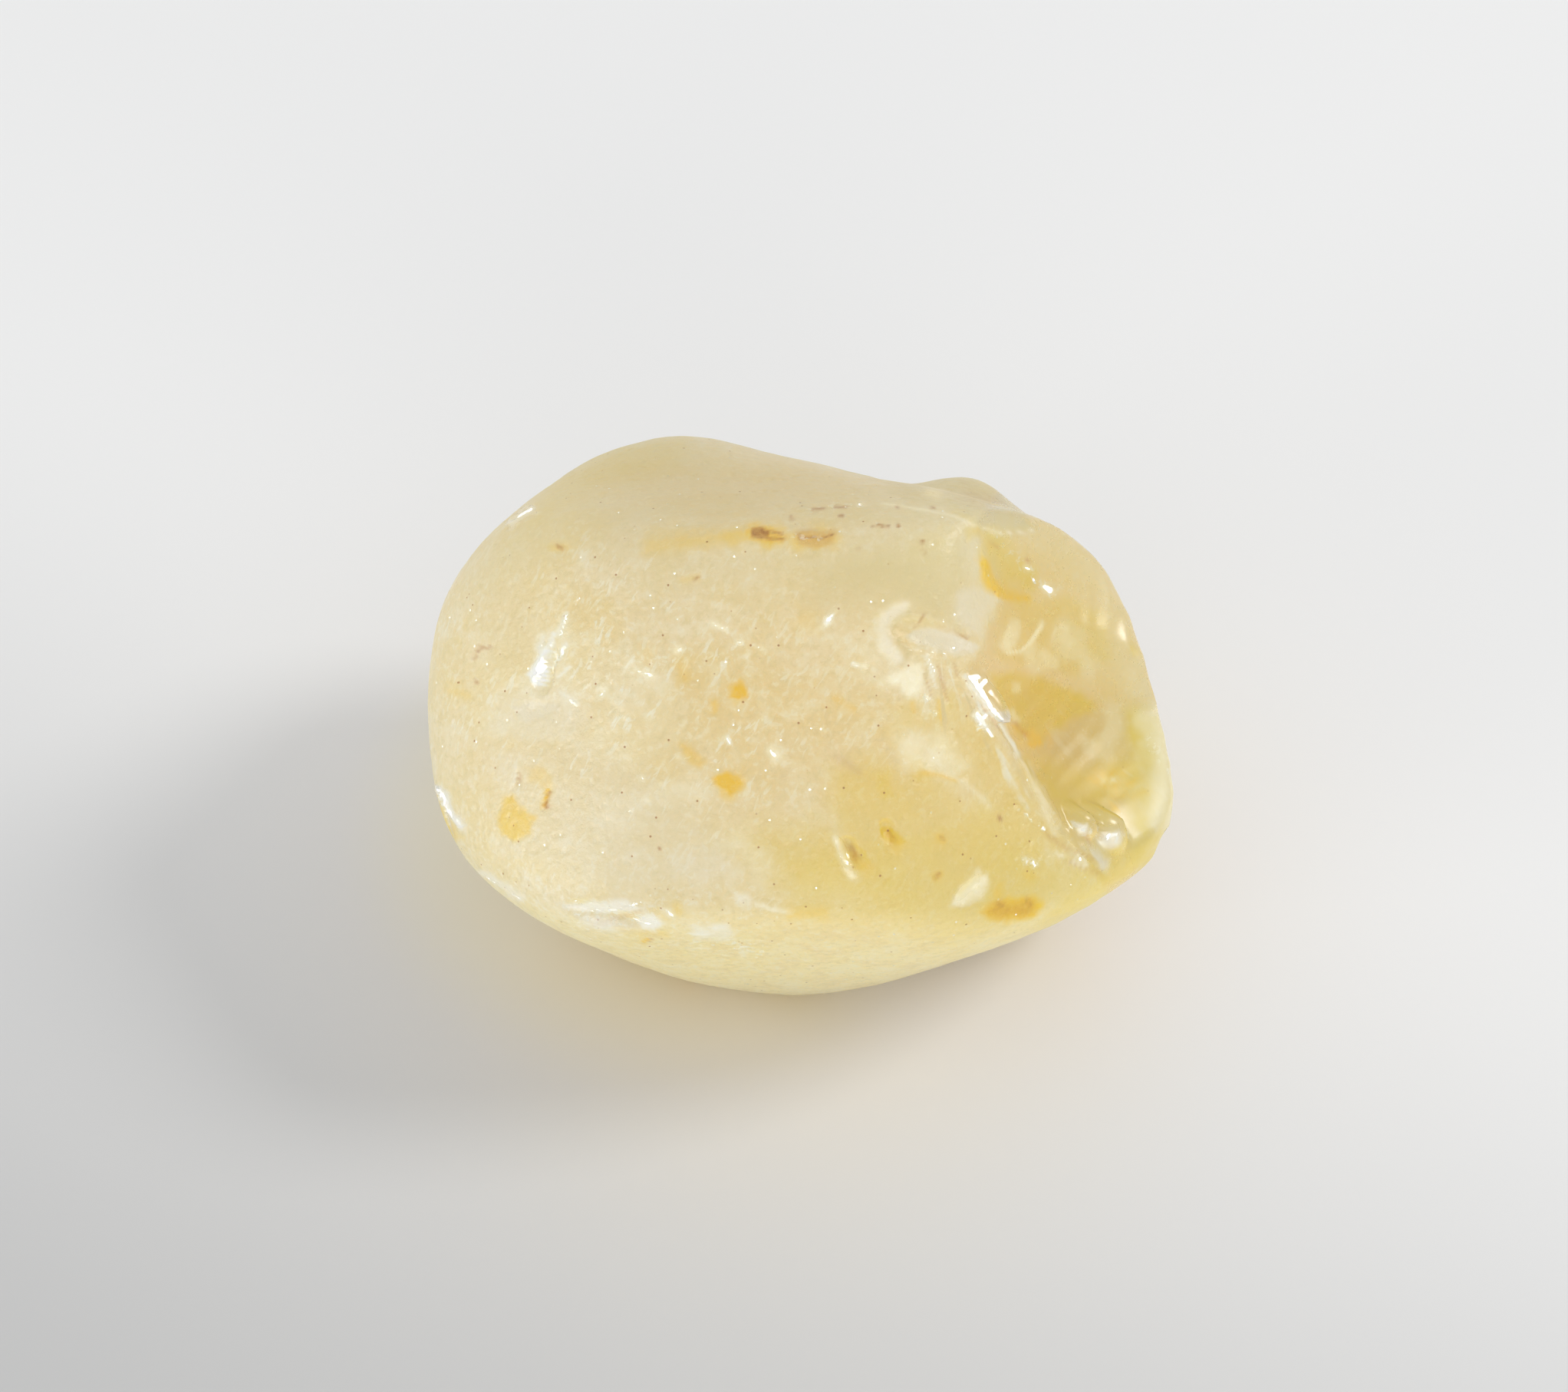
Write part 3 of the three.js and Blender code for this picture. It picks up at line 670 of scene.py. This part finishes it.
past_edge = past_front * front + past_behind * (1 - front) + 0.10 * broad + 0.07 * fine
fresh = smooth_step(past_edge, -0.03, 0.09)

# ---- Painting the marks ----

ragged = np.clip(1 + 0.5 * broad[seen] + 0.8 * fine[seen], 0.6, 1.7)
PATCH_RAGGEDNESS = 0.05


def line_distance(line):
    """Distance in the sight plane, in mm, of each seen point from a line given in pixels."""
    place = sight[seen]
    knots = [((x - HEART_PIXEL[0]) / PIXELS_PER_MM, (HEART_PIXEL[1] - y) / PIXELS_PER_MM) for x, y in line]
    nearest = np.full(len(seen), FAR_OUT)
    for start, end in zip(knots[:-1], knots[1:]):
        start, run = np.array(start), np.array(end) - np.array(start)
        t = np.clip((place - start) @ run / max(run @ run, 1e-9), 0, 1)
        nearest = np.minimum(nearest, np.linalg.norm(place - start - t[:, None] * run, axis=1))
    return nearest


def lay(field, mark):
    """Adds a mark to a field on the side that the camera sees."""
    field[seen] = np.maximum(field[seen], mark * front[seen])


def paint(marks):
    """Field of soft strokes along lines."""
    field = np.zeros(len(rays))
    for half_width, strength, *lines in marks:
        for line in lines:
            lay(field, strength * np.exp(-((line_distance(line) * ragged / half_width) ** 2)))
    return field


def depth_within(outline):
    """How far each seen point lies inside an outline given in pixels, in mm; negative outside."""
    x = HEART_PIXEL[0] + sight[seen, 0] * PIXELS_PER_MM
    y = HEART_PIXEL[1] - sight[seen, 1] * PIXELS_PER_MM
    closed = outline + outline[:1]
    within = np.zeros(len(seen), bool)
    for (x1, y1), (x2, y2) in zip(closed[:-1], closed[1:]):
        if y1 != y2:
            crossing = x1 + (y - y1) * (x2 - x1) / (y2 - y1)
            within ^= ((y1 > y) != (y2 > y)) & (x < crossing)
    return np.where(within, 1, -1) * line_distance(closed)


def fill(field, patches):
    """Adds patches with an outline in pixels; softness is the width of their edges in mm."""
    for softness, strength, *outlines in patches:
        for outline in outlines:
            depth = depth_within(outline) + PATCH_RAGGEDNESS * fine[seen]
            lay(field, strength * smooth_step(depth, -softness, softness))
    return field


stain = fill(paint(STAINS), STAIN_PATCHES)
knot = fill(paint(KNOTS), KNOT_PATCHES)
gold = fill(paint(GOLD), GOLD_PATCHES)
veil_and_glint = fill(paint(VEILS_AND_GLINTS), VEIL_PATCHES)
olive = fill(paint(OLIVE), OLIVE_PATCHES)
ash = fill(paint(ASH_LINES), ASH_PATCHES)
snow_and_highlight = fill(paint(SNOW_AND_HIGHLIGHT_LINES), SNOW_AND_HIGHLIGHT_PATCHES)
dull = fill(paint([]), DULL_PATCHES)
gloss = paint(GLINTS)
glitter = paint(GLITTER)
facet = paint(FACETS)
hackle = paint(HACKLES)

# The sides that the camera doesn't see carry marks of the same kinds, scattered: how many, and
# the ranges of their half lengths, half widths and strengths
SCATTER = [
    (stain, 26, (0.10, 0.40), (0.06, 0.16), (0.4, 1.0)),
    (knot, 40, (0.04, 0.16), (0.03, 0.05), (0.4, 0.9)),
    (gold, 9, (0.5, 1.4), (0.4, 0.8), (0.4, 0.8)),
    (veil_and_glint, 46, (0.10, 0.60), (0.05, 0.22), (0.4, 0.9)),
    (olive, 10, (0.3, 0.9), (0.1, 0.3), (0.3, 0.6)),
]
draw = np.random.default_rng(SEED)


def blot(field, centre, reach, strength):
    """Adds a long ragged blot around a point of the skin, of half length and half width in mm."""
    along = unit(np.cross(centre, draw.normal(size=3)))
    offset = points - centre
    u = offset @ along
    rest = np.sqrt(np.clip((offset ** 2).sum(1) - u * u, 0, None))
    d2 = (u / reach[0]) ** 2 + (rest / reach[1]) ** 2
    d2 = d2 * (1 + 0.5 * broad + 0.3 * fine)
    np.maximum(field, strength * np.exp(-np.clip(d2, 0, 40)) * (1 - front), out=field)


unseen = np.nonzero(front == 0)[0]
for field, count, lengths, widths, strengths in SCATTER:
    for _ in range(count):
        centre = points[draw.choice(unseen)]
        blot(field, centre, (draw.uniform(*lengths), draw.uniform(*widths)), draw.uniform(*strengths))

# Flecks in the milky left half: short, pale or greenish, and mostly leaning one way
FLECKS = 90
FLECK_CENTRE = (-2.9, 0.35)
FLECK_REACH = (1.5, 1.25)
FLECK_LEAN = 58
FLECK_HALF_WIDTH = 0.035
PALE_FLECKS = 0.6  # their share
from_flecks = (sight - FLECK_CENTRE) / FLECK_REACH
milky = 0.3 + 0.7 * front * np.exp(-0.35 * (from_flecks ** 2).sum(1))
milky *= 1 - fresh
for _ in range(FLECKS):
    x, y = FLECK_CENTRE + draw.normal(size=2) * FLECK_REACH * 0.6
    lean = math.radians(draw.normal(FLECK_LEAN, 16))
    half = draw.uniform(0.04, 0.14)
    offset = sight[seen] - (x, y)
    u = offset @ (math.cos(lean), math.sin(lean))
    v = offset @ (-math.sin(lean), math.cos(lean))
    fleck = np.exp(-((u / half) ** 2 + (v / FLECK_HALF_WIDTH) ** 2)) * draw.uniform(0.25, 0.6)
    lay(veil_and_glint if draw.random() < PALE_FLECKS else olive, fleck)

# ---- Relief: water wear, pits, ripples of the break, lips and grooves ----

# Heights in mm
WEAR = 0.022
FINE_WEAR = 0.0045
RIPPLES = 0.012
HACKLE = 0.008
SPLINTER = 0.030
CLUMPS = 0.004
BAND_LINES = 0.006

relief = WEAR * broad * (1 - 0.6 * fresh) + FINE_WEAR * fine
for half_width, height, *lines in LIPS:
    for line in lines:
        d = line_distance(line) / half_width
        relief[seen] += height * np.exp(-(d ** 2)) * front[seen] * (1 + 0.5 * fine[seen])

# Pits of the worn skin: their radii in mm, and depth and lip as shares of the radius
PITS = 900
PIT_RADII = (0.04, 0.12)
PIT_DEPTH = 0.22
PIT_LIP = 0.03
for _ in range(PITS):
    middle = draw.integers(len(rays))
    size = draw.uniform(*PIT_RADII)
    if fresh[middle] > 0.3:
        continue
    near = np.linalg.norm(points - points[middle], axis=1) / size
    bowl = np.clip(1 - near ** 2, 0, 1) ** 2
    lip = np.exp(-(((near - 1.15) / 0.3) ** 2))
    relief -= size * (PIT_DEPTH * bowl - PIT_LIP * lip)

# Ripples and fine hackle run out from where the break began
BREAK_START = (2.2, 1.6)
RIPPLE_LENGTH = 0.34
HACKLE_COUNT = 70
reach = sight - BREAK_START
far = np.linalg.norm(reach, axis=1)
turn = np.arctan2(reach[:, 1], reach[:, 0])
ripple = np.sin(far * 2 * math.pi / RIPPLE_LENGTH + 2.2 * broad) * smooth_step(far, 1.4, 2.6)
relief += RIPPLES * fresh * front * ripple
relief += HACKLE * hackle * np.sin(HACKLE_COUNT * turn + 3.0 * broad)
relief += SPLINTER * paint(SPLINTERS) * fine
relief += CLUMPS * milky * clumps

# Fine lines along the lower band on the right
LINE_LENGTH = 0.13
band = smooth_step(-sight[:, 1], 2.75, 3.2) * smooth_step(sight[:, 0], 0.6, 1.8) * front
down_band = sight[:, 1] - 0.28 * sight[:, 0]
relief += BAND_LINES * band * np.sin(down_band * 2 * math.pi / LINE_LENGTH + 1.5 * broad)

# The resting flat stays flat
relief *= smooth_step(points[:, 2] + HEART[2], 0.01, 0.25)
points = points + rays * relief[:, None] + HEART
points[:, 2] = np.clip(points[:, 2], 0, None)

mesh = bpy.data.meshes.new("stone")
mesh.from_pydata((points * MM).tolist(), [], quads.tolist())
mesh.polygons.foreach_set("use_smooth", [True] * len(quads))
mesh.update()
stone = bpy.data.objects.new("stone", mesh)
bpy.context.scene.collection.objects.link(stone)

# Where the light that runs through the stone comes out again: low down, at the left end, and along the
# lower rim. The rim carries a painted glow, a warm light colour laid on the lower rim.
low = np.maximum(smooth_step(-normals[:, 2], -0.75, 0.30), smooth_step(-points[:, 0], 1.0, 6.0))
low *= 0.6 + 0.4 * front
rim = smooth_step(-normals[:, 2] - rays[:, 2], -1.0, 0.9) * front * (1 - fresh)

# The layers go to the material three by three
LAYERS = {
    "colours": {"stain": stain, "knot": knot, "gold": gold},
    "films": {"veil_and_glint": veil_and_glint, "olive": olive, "ash": ash},
    "lights": {"snow_and_highlight": snow_and_highlight, "gloss": gloss, "dull": dull},
    "crystals": {"glitter": glitter, "facet": facet, "milky": milky},
    "kinds": {"fresh": fresh, "low": low, "hackle": hackle},
    "clouding": {"clouds": clouds, "clumps": clumps, "far": far},
    "turning": {"turn": turn, "rim": rim},
}
for group, members in LAYERS.items():
    values = np.zeros((len(rays), 3), np.float32)
    for k, member in enumerate(members.values()):
        values[:, k] = member
    attribute = mesh.attributes.new(group, "FLOAT_VECTOR", "POINT")
    attribute.data.foreach_set("vector", values.ravel())

# ---- Building blocks of the materials: they work on the one that was made last ----


def new_material(name):
    """A material, its nodes and links, and its shader."""
    made = bpy.data.materials.new(name)
    made.use_nodes = True
    return made, made.node_tree.nodes, made.node_tree.links, made.node_tree.nodes["Principled BSDF"]


def feed(socket, value):
    """Links a node's output to the socket, or sets the plain value on it."""
    if isinstance(value, bpy.types.NodeSocket):
        links.new(value, socket)
    else:
        socket.default_value = value


def calc(operation, a, b, clamp=False):
    node = nodes.new("ShaderNodeMath")
    node.operation = operation
    node.use_clamp = clamp
    feed(node.inputs[0], a)
    feed(node.inputs[1], b)
    return node.outputs[0]


def product(first, *others):
    for other in others:
        first = calc("MULTIPLY", first, other)
    return first


def step(value, low, high, out_low=0.0, out_high=1.0):
    """Eases from out_low to out_high as value goes from low to high."""
    node = nodes.new("ShaderNodeMapRange")
    node.interpolation_type = "SMOOTHSTEP"
    for socket, number in zip(node.inputs[:5], (value, low, high, out_low, out_high)):
        feed(socket, number)
    return node.outputs[0]


def blend(factor, a, b, kind="MIX"):
    """Colour that goes from a to b with the factor."""
    node = nodes.new("ShaderNodeMix")
    node.data_type = "RGBA"
    node.blend_type = kind
    feed(node.inputs["Factor"], factor)
    feed(node.inputs["A"], a)
    feed(node.inputs["B"], b)
    return node.outputs["Result"]


def vector(operation, a, b=(0, 0, 0), result="Vector"):
    node = nodes.new("ShaderNodeVectorMath")
    node.operation = operation
    feed(node.inputs[0], a)
    feed(node.inputs[1], b)
    return node.outputs[result]


def between(factor, a, b):
    """Vector that goes from a to b with the factor."""
    node = nodes.new("ShaderNodeMix")
    node.data_type = "VECTOR"
    for socket, value in zip([s for s in node.inputs if s.type == "VECTOR"][-2:], (a, b)):
        feed(socket, value)
    feed(node.inputs[0], factor)
    return next(s for s in node.outputs if s.type == "VECTOR")


def noise_at(at, scale, detail, roughness=0.5, distortion=0.0):
    """Cloudy noise, about 0.3 to 0.7."""
    node = nodes.new("ShaderNodeTexNoise")
    names = ("Vector", "Scale", "Detail", "Roughness", "Distortion")
    for name, value in zip(names, (at, scale, detail, roughness, distortion)):
        feed(node.inputs[name], value)
    return node.outputs["Fac"]


def grain(size, detail, roughness, distortion=0.0):
    """Noise with waves of the given size in mm."""
    return noise_at(place, 1 / (size * MM), detail, roughness, distortion)


def streaks(count, length):
    """Noise drawn out into lines that run away from the start of the break; count per turn."""
    polar = nodes.new("ShaderNodeCombineXYZ")
    feed(polar.inputs[0], product(layers["turn"], count / (2 * math.pi)))
    feed(polar.inputs[1], calc("DIVIDE", layers["far"], length))
    return noise_at(polar.outputs[0], 1.0, 2.0)


def strokes(lean, length, width):
    """Noise drawn out into short strokes that lean by so many degrees as the camera sees them."""
    c, s = math.cos(math.radians(lean)), math.sin(math.radians(lean))
    axes = (c * ACROSS + s * UP) / length, (c * UP - s * ACROSS) / width, TOWARDS / width
    drawn = nodes.new("ShaderNodeCombineXYZ")
    for socket, axis in zip(drawn.inputs, axes):
        feed(socket, vector("DOT_PRODUCT", place, axis / MM, "Value"))
    return noise_at(drawn.outputs[0], 1.0, 3.0, distortion=0.6)


def cells(size):
    """Distances from the middles of cells of the given size in mm, and a chance value of each cell."""
    node = nodes.new("ShaderNodeTexVoronoi")
    feed(node.inputs["Vector"], place)
    node.inputs["Scale"].default_value = 1 / (size * MM)
    return node.outputs["Distance"], node.outputs["Color"]


def mark(name, by, gain):
    """A mark layer, broken up by noise."""
    return calc("MULTIPLY", layers[name], calc("ADD", product(by, gain), 1 - gain / 2), clamp=True)


# ---- Look of the stone ----

PALE = (0.835, 0.638, 0.318, 1)
DUSKY = (0.785, 0.640, 0.360, 1)
FRESH = (0.910, 0.625, 0.260, 1)
MILK = (0.870, 0.690, 0.425, 1)
GOLDEN = (0.800, 0.565, 0.075, 1)
ASH = (0.850, 0.745, 0.560, 1)
SNOW_AND_HIGHLIGHT = (1.000, 0.960, 0.860, 1)
GLINT = (1.000, 0.920, 0.720, 1)
WHITE = (0.950, 0.845, 0.645, 1)
GREEN_GREY = (0.720, 0.590, 0.310, 1)
ORANGE = (0.930, 0.555, 0.035, 1)
BROWN = (0.360, 0.150, 0.025, 1)
BUFF = (0.680, 0.505, 0.160, 1)
GLOW = (1.000, 0.785, 0.400, 1)
ABSORBED = (1.0, 0.82, 0.30, 1)

IOR = 1.77
ABSORPTION_DENSITY = 30.0
SUBSURFACE = 0.82
SUBSURFACE_RADIUS = (1.0, 0.9, 0.7)
SUBSURFACE_SCALE = 0.010
CLEARNESS = (0.20, 0.28)  # of the skin and of the break
SKIN_ROUGHNESS = (0.40, 0.50)
BREAK_ROUGHNESS = (0.24, 0.30)
DULL_ROUGHNESS = 0.45
SHINE = 0.35  # what is left of the roughness on a glossy spot
BUMP_STRENGTH = (0.7, 0.05)  # on the skin and on the break
BUMP_HEIGHT = 0.03

material, nodes, links, shader = new_material("sapphire")
layers = {}
for group, members in LAYERS.items():
    source = nodes.new("ShaderNodeAttribute")
    source.attribute_name = group
    split = nodes.new("ShaderNodeSeparateXYZ")
    feed(split.inputs[0], source.outputs["Vector"])
    layers.update(zip(members, split.outputs))
place = nodes.new("ShaderNodeTexCoord").outputs["Object"]

mottle = grain(0.45, 4.0, 0.6, 0.4)
speckle = grain(0.11, 3.0, 0.6)
flecks = strokes(FLECK_LEAN, 0.30, 0.09)
streaked = streaks(HACKLE_COUNT, 1.3)
from_middle, chance = cells(0.19)
broken = layers["fresh"]
veils_and_glints = mark("veil_and_glint", mottle, 1.2)
in_clumps = product(layers["milky"], step(layers["clumps"], -0.3, 0.4))
out_of_clumps = product(layers["milky"], step(layers["clumps"], 0.1, -0.6, 0.0, 0.5))
pins = product(step(from_middle, 0.13, 0.06), step(chance, 0.36, 0.30), step(broken, 0.0, 1.0, 1.0, 0.2))
sparks = product(step(from_middle, 0.14, 0.06), step(chance, 0.68, 0.74), step(broken, 0.0, 1.0, 1.0, 0.25))
dots = product(step(speckle, 0.54, 0.60), layers["glitter"])
facets = step(mark("facet", speckle, 1.2), 0.42, 0.52)
spark = calc("MAXIMUM", calc("MAXIMUM", sparks, dots), facets)

# Coats of colour over the pale body, from the bottom up: where, how strongly, the colour
COATS = [
    # Painted glow: a warm light colour along the lower rim
    (layers["rim"], 0.85, GLOW),
    (step(mottle, 0.45, 0.7), 0.30, WHITE),
    (step(mottle, 0.52, 0.34), 0.45, DUSKY),
    (broken, 0.8, FRESH),
    (layers["dull"], 0.8, BUFF),
    (step(speckle, 0.53, 0.66), step(broken, 0.0, 1.0, 0.35, 0.12), WHITE),
    (step(speckle, 0.47, 0.34), step(broken, 0.0, 1.0, 0.40, 0.25), GREEN_GREY),
    (step(flecks, 0.55, 0.64), in_clumps, WHITE),
    (step(flecks, 0.46, 0.36), out_of_clumps, GREEN_GREY),
    (mark("gold", mottle, 0.7), 1, GOLDEN),
    # Milky veils, and painted glints
    (veils_and_glints, 1, WHITE),
    (mark("olive", mottle, 1.0), 1, GREEN_GREY),
    (mark("ash", mottle, 0.4), 1, ASH),
    (mark("stain", speckle, 1.0), 1, ORANGE),
    (mark("knot", speckle, 1.4), 1, BROWN),
    (pins, 0.8, BROWN),
    (step(streaked, 0.55, 0.66), layers["hackle"], WHITE),
    (step(streaked, 0.44, 0.34), layers["hackle"], GREEN_GREY),
    # White flakes and painted highlights
    (mark("snow_and_highlight", mottle, 0.6), 1, SNOW_AND_HIGHLIGHT),
    # Painted highlight: a pale glint colour on the sparks, glitter and facets
    (spark, 0.75, GLINT),
]
colour = blend(step(layers["clouds"], -0.6, 0.6), PALE, MILK)
for where, strength, coat in COATS:
    colour = blend(where if strength == 1 else product(where, strength), colour, coat)
feed(shader.inputs["Base Color"], colour)

frost = step(speckle, 0.35, 0.65, *SKIN_ROUGHNESS)
glassy = step(mottle, 0.35, 0.65, *BREAK_ROUGHNESS)
roughness = calc("ADD", product(frost, calc("SUBTRACT", 1.0, broken)), product(glassy, broken))
shiny = calc("MAXIMUM", layers["gloss"], spark)
roughness = product(roughness, step(shiny, 0.0, 0.6, 1.0, SHINE))
roughness = calc("MAXIMUM", roughness, product(layers["dull"], DULL_ROUGHNESS))
feed(shader.inputs["Roughness"], roughness)

# Veils, flakes and the painted highlights make the stone less clear
whitened = calc("MAXIMUM", veils_and_glints, layers["snow_and_highlight"])
clear = step(broken, 0.0, 1.0, *CLEARNESS)
clear = product(clear, step(layers["low"], 0.0, 1.0, 1.0, 0.25), step(whitened, 0.0, 1.0, 1.0, 0.2))
feed(shader.inputs["Transmission Weight"], clear)
shader.inputs["IOR"].default_value = IOR
shader.inputs["Subsurface Weight"].default_value = SUBSURFACE
shader.inputs["Subsurface Radius"].default_value = SUBSURFACE_RADIUS
shader.inputs["Subsurface Scale"].default_value = SUBSURFACE_SCALE

absorb = nodes.new("ShaderNodeVolumeAbsorption")
absorb.inputs["Color"].default_value = ABSORBED
absorb.inputs["Density"].default_value = ABSORPTION_DENSITY
feed(nodes["Material Output"].inputs["Volume"], absorb.outputs["Volume"])

bump = nodes.new("ShaderNodeBump")
dimples = product(step(from_middle, 0.0, 0.5), step(broken, 0.0, 0.5, 0.6, 0.0))
feed(bump.inputs["Height"], calc("ADD", speckle, dimples))
smoothed = step(layers["gloss"], 0.0, 1.0, 1.0, 0.2)
feed(bump.inputs["Strength"], product(step(broken, 0.0, 1.0, *BUMP_STRENGTH), smoothed))
bump.inputs["Distance"].default_value = BUMP_HEIGHT * MM

# Small crystal facets stand askew to the skin and catch the lamp of their side: each is a cell
# whose normal is the way between camera and lamp, give or take a little
KEY_FROM = (8, 42)
LEFT_FROM = (-150, 5)
FACET_DIVIDE = (-1.6 * MM, -1.4 * MM)
FACET_SPREAD = (0.16, 0.16, 0.16)
key_facet = tuple(unit(direction(*KEY_FROM) + TOWARDS))
left_facet = tuple(unit(direction(*LEFT_FROM) + TOWARDS))
parts = nodes.new("ShaderNodeSeparateXYZ")
feed(parts.inputs[0], place)
right = step(parts.outputs[0], *FACET_DIVIDE)
askew = vector("MULTIPLY", vector("SUBTRACT", chance, (0.5, 0.5, 0.5)), FACET_SPREAD)
facing = vector("ADD", between(right, left_facet, key_facet), askew)
feed(shader.inputs["Normal"], vector("NORMALIZE", between(spark, bump.outputs["Normal"], facing)))
mesh.materials.append(material)

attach(stone, "root")
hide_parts("rough_sapphire")

# ---- Table ----

TABLE_HALF = 0.6
TABLE_ROUGHNESS = 0.6

floor_mesh = bpy.data.meshes.new("table")
corners = [(x * TABLE_HALF, y * TABLE_HALF, 0) for x, y in ((-1, -1), (1, -1), (1, 1), (-1, 1))]
floor_mesh.from_pydata(corners, [], [(0, 1, 2, 3)])
floor = bpy.data.objects.new("table", floor_mesh)
bpy.context.scene.collection.objects.link(floor)
white, nodes, links, shader = new_material("table_white")
shader.inputs["Roughness"].default_value = TABLE_ROUGHNESS
floor_place = nodes.new("ShaderNodeTexCoord").outputs["Object"]

# Painted light: the paper's colour is a little lighter towards the window, behind the stone on the right,
# and darker the other way: places along that way in metres, and the lightness there
TOWARDS_WINDOW = (0.42, 0.91, 0)
PAINTED_LIGHT_RAMP = (-0.018, 0.006, 0.53, 0.86)
painted_light = step(vector("DOT_PRODUCT", floor_place, TOWARDS_WINDOW, "Value"), *PAINTED_LIGHT_RAMP)

# A painted pool of light: light that has come through the stone warms the paper around its foot
FOOT = (-0.002, 0.001, 0)
WARM_REACH = (0.0035, 0.0060)
WARM = (1.08, 1.05, 0.90, 1)
painted_warm_light = step(vector("DISTANCE", floor_place, FOOT, "Value"), *WARM_REACH, 1.0, 0.0)
feed(shader.inputs["Base Color"], blend(painted_warm_light, painted_light, WARM, "MULTIPLY"))
floor_mesh.materials.append(white)

# ---- Light and camera ----

STUDIO_COLOUR = (0.97, 0.985, 1.0, 1)
STUDIO_STRENGTH = 0.72
LAMP_DISTANCE = 0.5
LAMP_AIM = Vector((0, 0, 0.004))

world = bpy.data.worlds.new("studio")
bpy.context.scene.world = world
world.use_nodes = True
world.node_tree.nodes["Background"].inputs["Color"].default_value = STUDIO_COLOUR
world.node_tree.nodes["Background"].inputs["Strength"].default_value = STUDIO_STRENGTH


def area_light(name, azimuth, elevation, size, watts, colour):
    light = bpy.data.lights.new(name, "AREA")
    light.shape = "DISK"
    light.size = size
    light.energy = watts
    light.color = colour
    lamp = bpy.data.objects.new(name, light)
    spot = Vector(direction(azimuth, elevation)) * LAMP_DISTANCE
    lamp.location = spot + LAMP_AIM
    lamp.rotation_euler = spot.to_track_quat("Z", "Y").to_euler()
    lamp.visible_camera = False
    bpy.context.scene.collection.objects.link(lamp)


area_light("key", *KEY_FROM, 0.16, 0.80, (1.0, 0.98, 0.94))
area_light("left_fill", *LEFT_FROM, 0.22, 0.8, (1.0, 0.98, 0.95))
area_light("front_fill", -80, 4, 0.5, 0.95, (1.0, 0.98, 0.95))

SENSOR_WIDTH = 36.0
FRAME_WIDTH = 25.39  # the photograph's width at the stone
AIM = HEART - 0.236 * ACROSS + 0.298 * UP

camera_data = bpy.data.cameras.new("camera")
camera_data.sensor_width = SENSOR_WIDTH
camera_data.lens = SENSOR_WIDTH * SIGHT_DISTANCE / FRAME_WIDTH
camera_data.clip_start = 0.01
camera = bpy.data.objects.new("camera", camera_data)
eye = (AIM + TOWARDS * SIGHT_DISTANCE) * MM
camera.matrix_world = Matrix((*zip(ACROSS, UP, TOWARDS, eye), (0, 0, 0, 1)))
bpy.context.scene.collection.objects.link(camera)
bpy.context.scene.camera = camera

bpy.context.scene.view_settings.view_transform = "Standard"
bpy.context.scene.cycles.transmission_bounces = 12
bpy.context.scene.cycles.max_bounces = 16
